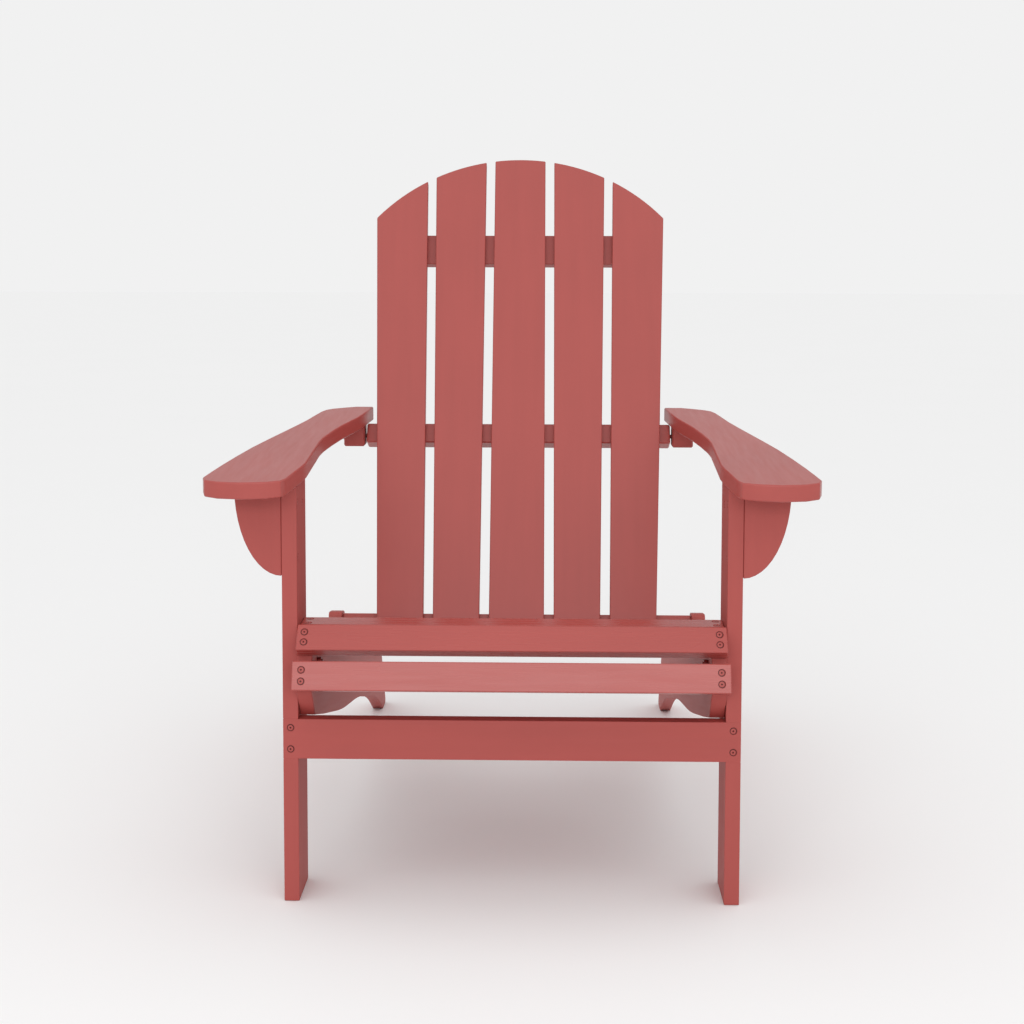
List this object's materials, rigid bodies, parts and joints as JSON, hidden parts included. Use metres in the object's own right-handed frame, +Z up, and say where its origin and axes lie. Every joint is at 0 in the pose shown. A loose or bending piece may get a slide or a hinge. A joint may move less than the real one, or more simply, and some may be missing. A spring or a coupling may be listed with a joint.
{
  "type": "adirondack chair",
  "caption": "Low outdoor armchair of painted wood boards with a fanned, arched slat back, a reclined seat that curves down in front and broad sloping arms.",
  "frame": {"origin": "middle of the chair's footprint, on the floor", "axes": "+Z up; the chair faces -Y; +X points to the right seen from the front, and is the chair's smallest overall size"},
  "size_m": [0.747, 0.9847, 0.9634],
  "materials": {
    "frame_paint": "satin brick-red paint over wood",
    "arm_paint": "satin brick-red paint over wood",
    "back_paint": "satin brick-red paint over wood",
    "seat_paint": "satin brick-red paint over wood",
    "screw_paint": "countersunk steel screws coated dark red",
    "bolt_paint": "bolts and nuts coated dark red"
  },
  "bodies": {
    "root": {"apron": "frame_paint", "apron_screw_left_1": "screw_paint", "apron_screw_left_2": "screw_paint", "apron_screw_right_1": "screw_paint", "apron_screw_right_2": "screw_paint", "arm_block_left": "frame_paint", "arm_block_right": "frame_paint", "arm_bracket_left": "frame_paint", "arm_bracket_right": "frame_paint", "arm_cleat_left": "frame_paint", "arm_cleat_right": "frame_paint", "arm_left": "arm_paint", "arm_right": "arm_paint", "back_slat_1": "back_paint", "back_slat_2": "back_paint", "back_slat_3": "back_paint", "back_slat_4": "back_paint", "back_slat_5": "back_paint", "block_bolt_left": "bolt_paint", "block_bolt_right": "bolt_paint", "bracket_screw_left_1": "screw_paint", "bracket_screw_left_2": "screw_paint", "bracket_screw_right_1": "screw_paint", "bracket_screw_right_2": "screw_paint", "cleat_screw_left": "screw_paint", "cleat_screw_right": "screw_paint", "front_leg_left": "frame_paint", "front_leg_right": "frame_paint", "lower_back_rail": "frame_paint", "lower_rail_bolt_left": "bolt_paint", "lower_rail_bolt_right": "bolt_paint", "middle_back_rail": "frame_paint", "rail_bolt_left_1": "bolt_paint", "rail_bolt_left_2": "bolt_paint", "rail_bolt_right_1": "bolt_paint", "rail_bolt_right_2": "bolt_paint", "rail_nut_left_1": "bolt_paint", "rail_nut_left_2": "bolt_paint", "rail_nut_right_1": "bolt_paint", "rail_nut_right_2": "bolt_paint", "seat_slat_1": "seat_paint", "seat_slat_1_screw_left_1": "screw_paint", "seat_slat_1_screw_left_2": "screw_paint", "seat_slat_1_screw_right_1": "screw_paint", "seat_slat_1_screw_right_2": "screw_paint", "seat_slat_2": "seat_paint", "seat_slat_2_screw_left_1": "screw_paint", "seat_slat_2_screw_left_2": "screw_paint", "seat_slat_2_screw_right_1": "screw_paint", "seat_slat_2_screw_right_2": "screw_paint", "seat_slat_3": "seat_paint", "seat_slat_4": "seat_paint", "seat_slat_5": "seat_paint", "seat_slat_6": "seat_paint", "seat_slat_7": "seat_paint", "seat_slat_8": "seat_paint", "side_rail_left": "frame_paint", "side_rail_right": "frame_paint", "upper_back_rail": "frame_paint"}
  },
  "joints": []
}
